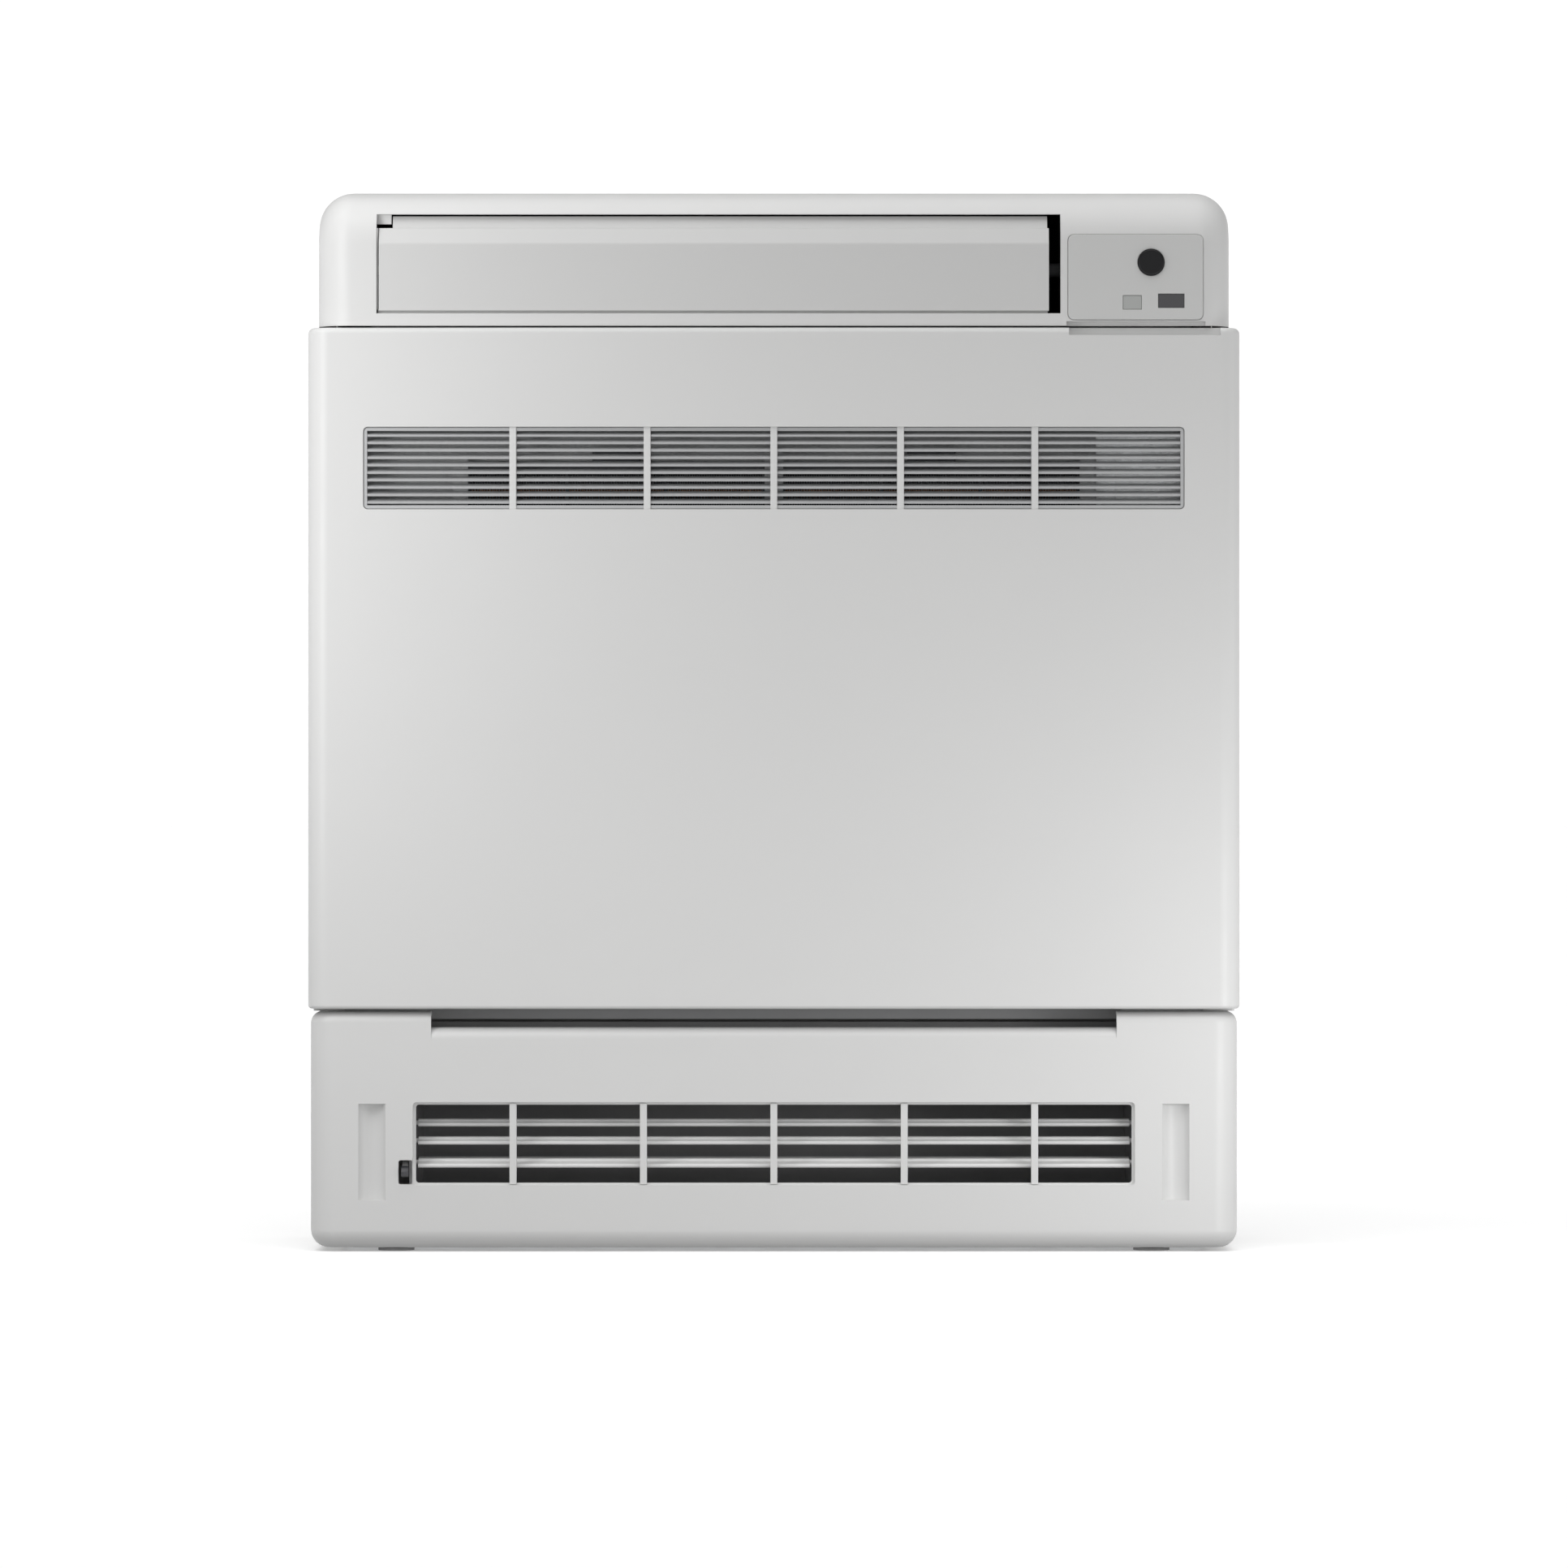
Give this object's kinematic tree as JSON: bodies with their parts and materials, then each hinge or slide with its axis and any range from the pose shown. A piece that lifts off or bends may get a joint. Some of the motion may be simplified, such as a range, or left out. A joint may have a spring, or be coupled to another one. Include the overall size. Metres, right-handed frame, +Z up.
{
  "type": "floor console air conditioner",
  "caption": "White floor-standing room air conditioner with a hinged front panel, intake grille, tilting upper louver, lower outlet with lever-set blades and a control plate at upper right.",
  "frame": {"origin": "middle of the bounding box's bottom, on the floor", "axes": "+X to the right of a viewer facing the unit, +Y from the front to the wall behind, +Z up"},
  "size_m": [0.615, 0.215, 0.7],
  "materials": {
    "white_shell": "moulded white, satin",
    "white_steel": "white powder coat",
    "galvanised": "zinc grey sheet",
    "white_blade": "moulded white",
    "control_grey": "pale grey, fine grain",
    "button_black": "black, semi gloss",
    "window_dark": "smoked",
    "lens_grey": "milky",
    "board_green": "laminate",
    "component_dark": "moulded",
    "inner_grey": "moulded grey",
    "duct_dark": "foam lined, dark",
    "fan_black": "moulded black",
    "motor_steel": "bare steel",
    "fin_aluminium": "thin fin stock",
    "copper": "copper tube",
    "brass": "machined",
    "hose_grey": "soft hose",
    "rubber_black": "moulded rubber",
    "filter_grey": "frame with fine net"
  },
  "bodies": {
    "cabinet": {"top_cover": "white_shell", "bottom_cover": "white_shell", "lower_grille": "white_shell", "left_side_panel": "white_steel", "right_side_panel": "white_steel", "rear_chassis": "galvanised", "base_plate": "galvanised", "motor_bracket": "galvanised", "control_box": "galvanised", "control_box_cover": "galvanised", "control_panel": "control_grey", "receiver_window": "window_dark", "indicator_lens": "lens_grey", "display_board": "board_green", "main_board": "board_green", "board_components": "component_dark", "terminal_block": "component_dark", "front_frame": "inner_grey", "hinge_brackets": "inner_grey", "bell_mouth": "inner_grey", "fan_housing": "inner_grey", "upper_duct": "duct_dark", "lower_duct": "duct_dark", "drain_pan": "duct_dark", "fan_motor": "motor_steel", "louver_motor": "motor_steel", "assembly_screws": "motor_steel", "coil_fins": "fin_aluminium", "coil_end_plates": "fin_aluminium", "coil_tubes": "copper", "refrigerant_pipes": "copper", "flare_unions": "brass", "drain_hose": "hose_grey", "rubber_feet": "rubber_black", "cable_gland": "rubber_black", "temperature_sensors": "rubber_black", "wiring_harness": "rubber_black"},
    "panel": {"front_panel": "white_shell", "intake_grille": "white_shell", "panel_latches": "inner_grey"},
    "louver": {"upper_louver": "white_shell", "louver_crank": "fan_black"},
    "vane_tie": {"vane_tie_bar": "white_blade"},
    "fan": {"fan_wheel": "fan_black", "motor_shaft": "motor_steel", "fan_nut": "motor_steel"},
    "blade_low": {"lower_blade_low": "white_blade"},
    "blade_mid": {"lower_blade_mid": "white_blade"},
    "blade_top": {"lower_blade_top": "white_blade"},
    "blade_link": {"lower_link": "white_blade"},
    "button": {"power_button": "button_black"},
    "filter_left": {"air_filter_left": "filter_grey"},
    "filter_right": {"air_filter_right": "filter_grey"},
    "vane_1": {"swing_vane_1": "white_blade"},
    "vane_2": {"swing_vane_2": "white_blade"},
    "vane_3": {"swing_vane_3": "white_blade"},
    "vane_4": {"swing_vane_4": "white_blade"},
    "vane_5": {"swing_vane_5": "white_blade"},
    "vane_6": {"swing_vane_6": "white_blade"}
  },
  "joints": [
    {"name": "panel_hinge", "type": "hinge", "parent": "cabinet", "child": "panel", "pos_m": [0, -0.0985, 0.174], "axis": [1, 0, 0], "range_deg": [0, 60]},
    {"name": "louver_tilt", "type": "hinge", "parent": "cabinet", "child": "louver", "pos_m": [-0.04, -0.089, 0.648], "axis": [-1, 0, 0], "range_deg": [0, 85]},
    {"name": "vane_swing_1", "type": "hinge", "parent": "cabinet", "child": "vane_1", "pos_m": [-0.215, -0.036, 0.64], "axis": [0, 0, 1], "range_deg": [-30, 30]},
    {"name": "vane_swing_2", "type": "hinge", "parent": "cabinet", "child": "vane_2", "pos_m": [-0.145, -0.036, 0.64], "axis": [0, 0, 1], "range_deg": [-30, 30]},
    {"name": "vane_swing_3", "type": "hinge", "parent": "cabinet", "child": "vane_3", "pos_m": [-0.075, -0.036, 0.64], "axis": [0, 0, 1], "range_deg": [-30, 30]},
    {"name": "vane_swing_4", "type": "hinge", "parent": "cabinet", "child": "vane_4", "pos_m": [-0.005, -0.036, 0.64], "axis": [0, 0, 1], "range_deg": [-30, 30]},
    {"name": "vane_swing_5", "type": "hinge", "parent": "cabinet", "child": "vane_5", "pos_m": [0.065, -0.036, 0.64], "axis": [0, 0, 1], "range_deg": [-30, 30]},
    {"name": "vane_swing_6", "type": "hinge", "parent": "cabinet", "child": "vane_6", "pos_m": [0.135, -0.036, 0.64], "axis": [0, 0, 1], "range_deg": [-30, 30]},
    {"name": "vane_tie_slide", "type": "slide", "parent": "cabinet", "child": "vane_tie", "axis": [1, 0, 0], "range_m": [-0.007, 0.007]},
    {"name": "fan_spin", "type": "hinge", "parent": "cabinet", "child": "fan", "pos_m": [0, 0, 0.362], "axis": [0, 1, 0], "continuous": true},
    {"name": "blade_low_tilt", "type": "hinge", "parent": "cabinet", "child": "blade_low", "pos_m": [0, -0.084, 0.0584], "axis": [1, 0, 0], "range_deg": [-12, 12]},
    {"name": "blade_mid_tilt", "type": "hinge", "parent": "cabinet", "child": "blade_mid", "pos_m": [0, -0.084, 0.0728], "axis": [1, 0, 0], "range_deg": [-12, 12]},
    {"name": "blade_top_tilt", "type": "hinge", "parent": "cabinet", "child": "blade_top", "pos_m": [0, -0.084, 0.0846], "axis": [1, 0, 0], "range_deg": [-12, 12]},
    {"name": "blade_link_slide", "type": "slide", "parent": "cabinet", "child": "blade_link", "axis": [0, 0, 1], "range_m": [-0.00188, 0.00188]},
    {"name": "button_press", "type": "slide", "parent": "cabinet", "child": "button", "axis": [0, 1, 0], "range_m": [0, 0.001], "stiffness_N_per_m": 300},
    {"name": "filter_left_lift", "type": "slide", "parent": "cabinet", "child": "filter_left", "axis": [0, 0, 1], "range_m": [0, 0.01]},
    {"name": "filter_right_lift", "type": "slide", "parent": "cabinet", "child": "filter_right", "axis": [0, 0, 1], "range_m": [0, 0.01]}
  ],
  "couplings": [
    {"joint": "vane_swing_1", "follows": "vane_tie_slide", "rad_per_m": -74.79},
    {"joint": "vane_swing_2", "follows": "vane_tie_slide", "rad_per_m": -74.79},
    {"joint": "vane_swing_3", "follows": "vane_tie_slide", "rad_per_m": -74.79},
    {"joint": "vane_swing_4", "follows": "vane_tie_slide", "rad_per_m": -74.79},
    {"joint": "vane_swing_5", "follows": "vane_tie_slide", "rad_per_m": -74.79},
    {"joint": "vane_swing_6", "follows": "vane_tie_slide", "rad_per_m": -74.79},
    {"joint": "blade_low_tilt", "follows": "blade_link_slide", "rad_per_m": 111.1},
    {"joint": "blade_mid_tilt", "follows": "blade_link_slide", "rad_per_m": 111.1},
    {"joint": "blade_top_tilt", "follows": "blade_link_slide", "rad_per_m": 111.1}
  ]
}
